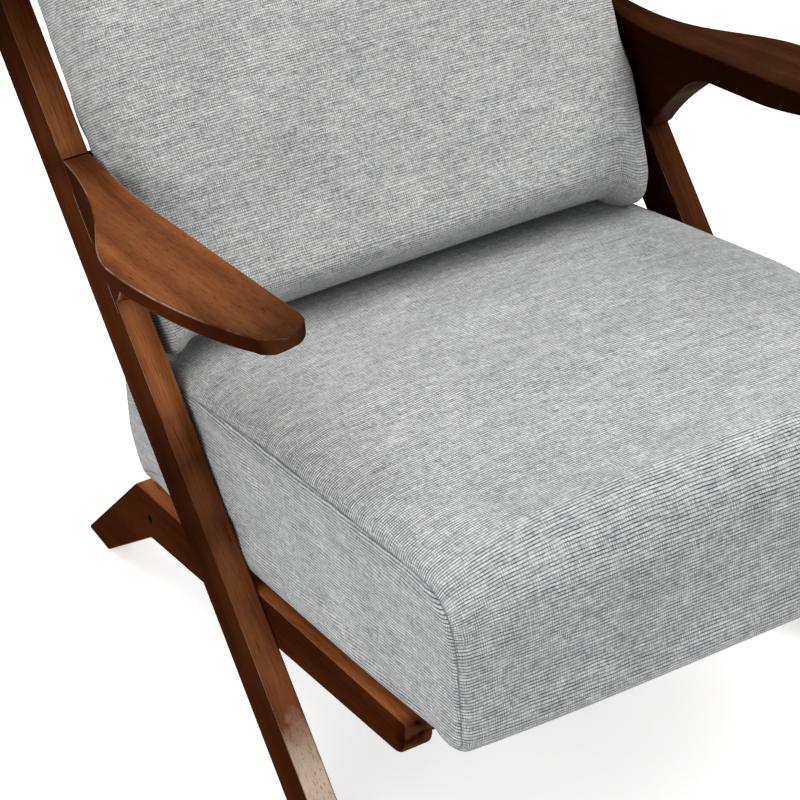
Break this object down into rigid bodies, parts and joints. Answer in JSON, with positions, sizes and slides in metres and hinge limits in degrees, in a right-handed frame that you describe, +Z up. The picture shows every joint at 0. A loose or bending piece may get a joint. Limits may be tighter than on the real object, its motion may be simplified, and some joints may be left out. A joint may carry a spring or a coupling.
{
  "type": "lounge chair",
  "caption": "Low wooden lounge chair with leaning posts, sculpted paddle arms, a thick fabric seat and a loose back cushion on a spindle back frame.",
  "frame": {"origin": "on the floor, under the middle of the chair's box", "axes": "+X to the right seen from the front, +Y towards the back, +Z up"},
  "size_m": [0.674, 0.8339, 0.7633],
  "materials": {
    "stained_wood": "satin lacquer",
    "plug_wood": "satin lacquer",
    "plain_wood": "unfinished",
    "upholstery": "woven rib",
    "foam": "foam",
    "dust_cloth": "non-woven",
    "elastic": "elastic webbing",
    "zip_tape": "woven tape",
    "zinc": "zinc plated",
    "nylon": "matte"
  },
  "bodies": {
    "frame": {"post_left": "stained_wood", "post_right": "stained_wood", "side_rail_left": "stained_wood", "side_rail_right": "stained_wood", "arm_left": "stained_wood", "arm_right": "stained_wood", "front_cross_rail": "stained_wood", "rear_cross_rail": "stained_wood", "crest_rail": "stained_wood", "lower_back_rail": "stained_wood", "spindle_1": "stained_wood", "spindle_2": "stained_wood", "spindle_3": "stained_wood", "spindle_4": "stained_wood", "spindle_5": "stained_wood", "spindle_6": "stained_wood", "spindle_7": "stained_wood", "arm_dowels": "plain_wood", "cross_rail_dowels": "plain_wood", "back_rail_dowels": "plain_wood", "frame_bolts": "zinc", "threaded_inserts": "zinc", "knee_plugs": "plug_wood", "foot_glides": "nylon", "seat_frame_front": "plain_wood", "seat_frame_rear": "plain_wood", "seat_frame_left": "plain_wood", "seat_frame_right": "plain_wood", "seat_corner_blocks": "plain_wood", "seat_strap_1": "elastic", "seat_strap_2": "elastic", "seat_strap_3": "elastic", "seat_strap_4": "elastic", "seat_strap_5": "elastic", "seat_foam": "foam", "seat_cover": "upholstery", "dust_cover": "dust_cloth", "seat_screws": "zinc"},
    "back_cushion": {"back_cover": "upholstery", "back_foam": "foam", "zip_tape": "zip_tape"},
    "zip_slider": {"zip_slider": "zinc"}
  },
  "joints": [
    {"name": "back_cushion_lift", "type": "slide", "parent": "frame", "child": "back_cushion", "axis": [0, 0.515, 0.8572], "range_m": [0, 0.46]},
    {"name": "zip_slider_pull", "type": "slide", "parent": "back_cushion", "child": "zip_slider", "axis": [-1, 0, 0], "range_m": [0, 0.296]}
  ]
}
